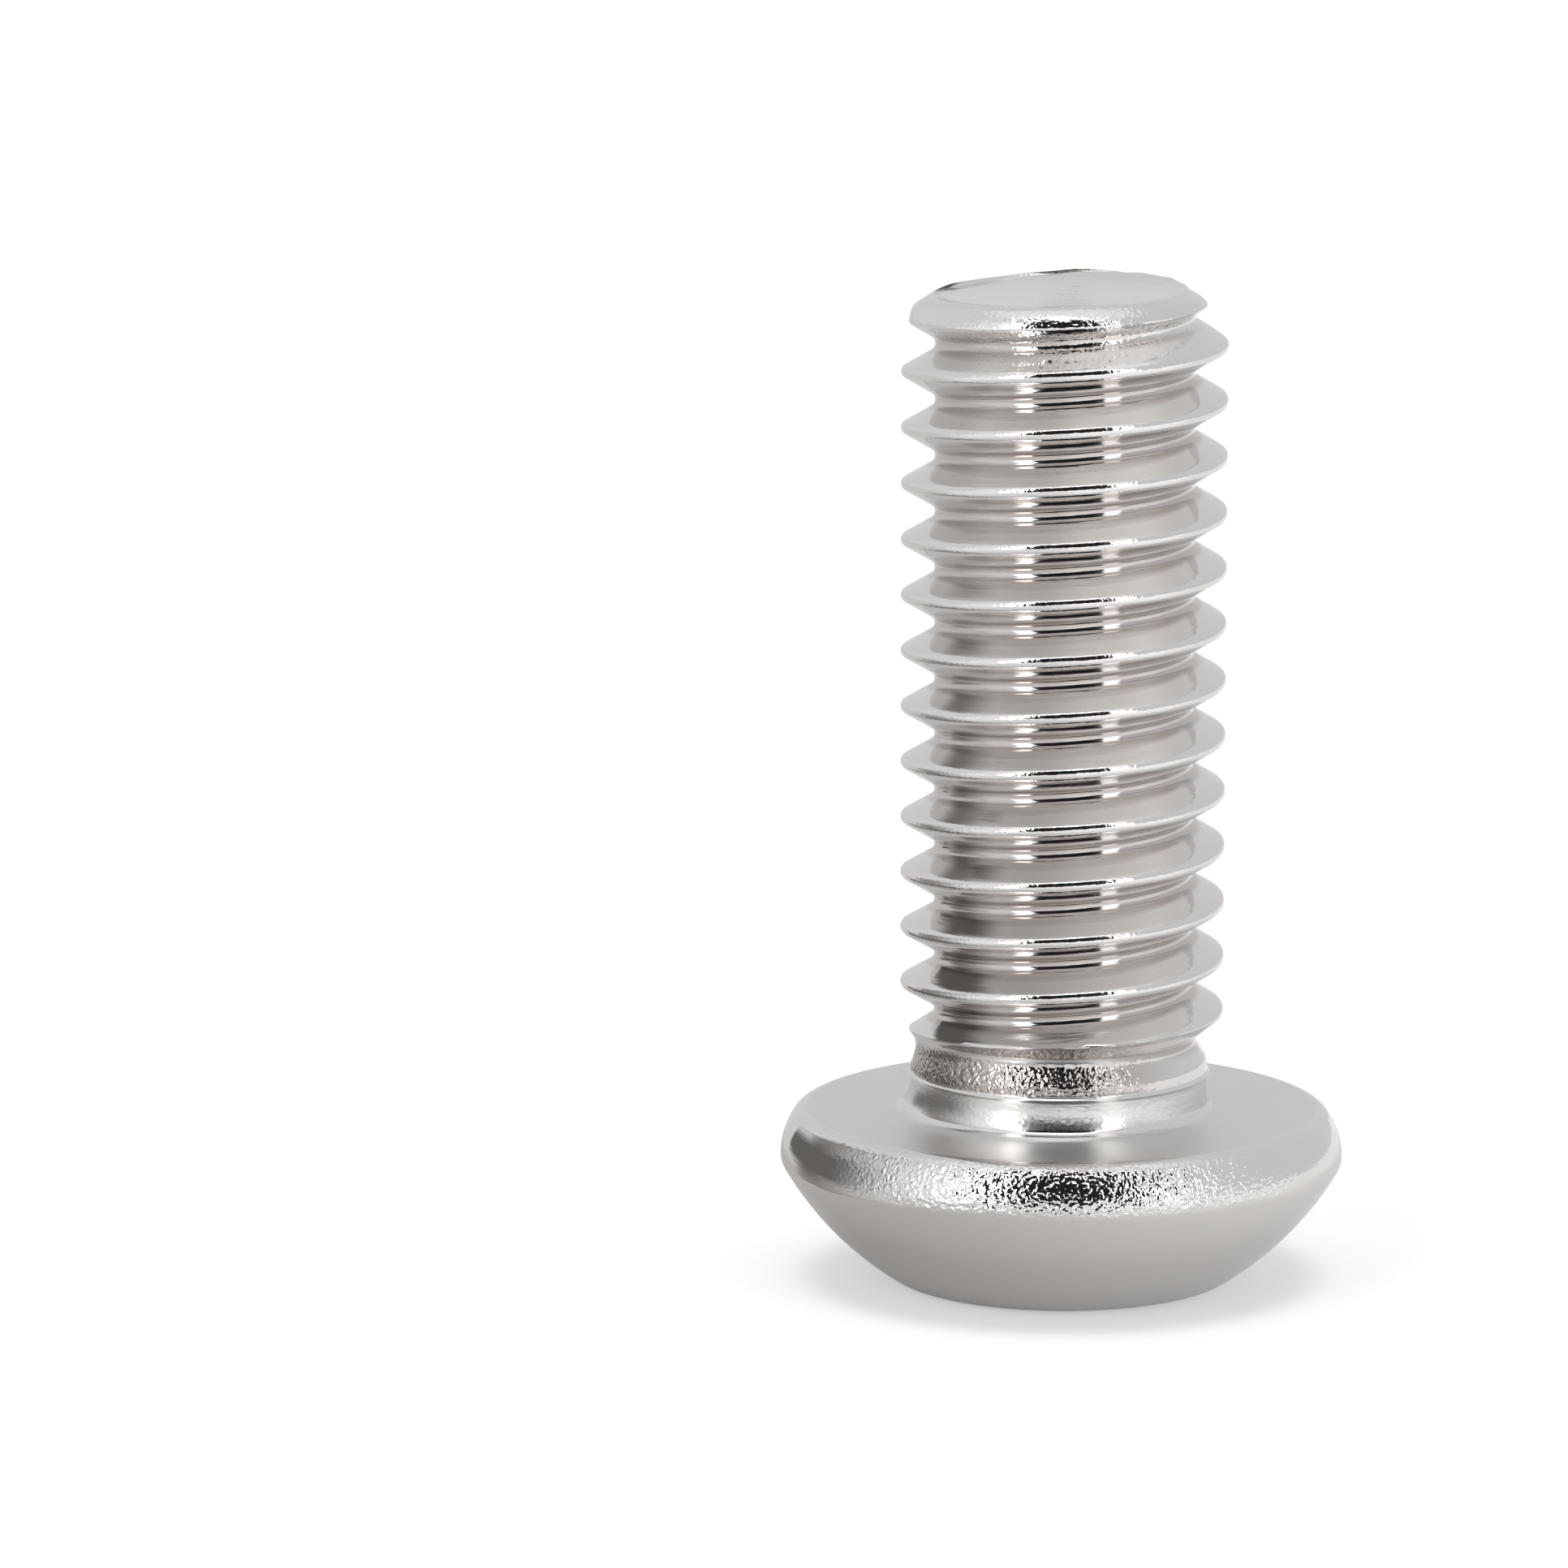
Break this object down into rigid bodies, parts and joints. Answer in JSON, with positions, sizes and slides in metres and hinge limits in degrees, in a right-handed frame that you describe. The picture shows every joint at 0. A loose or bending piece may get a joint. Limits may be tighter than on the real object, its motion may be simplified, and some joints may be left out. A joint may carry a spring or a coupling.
{
  "type": "button head screw",
  "caption": "Metal button head screw with a domed head, a countersunk hexagon socket, a full-length right-hand metric thread and a bevelled tip.",
  "frame": {"origin": "centre of the bearing face under the head, on the screw's axis", "axes": "+Z along the shank towards the tip; the head lies on the -Z side, and two flats of its socket are square to Y"},
  "size_m": [0.01, 0.01, 0.0178],
  "materials": {
    "bright_plate": "bright nickel-like plate over steel, polished, with fine rolling marks along the thread"
  },
  "bodies": {
    "root": {"button_head_screw": "bright_plate"}
  },
  "joints": []
}
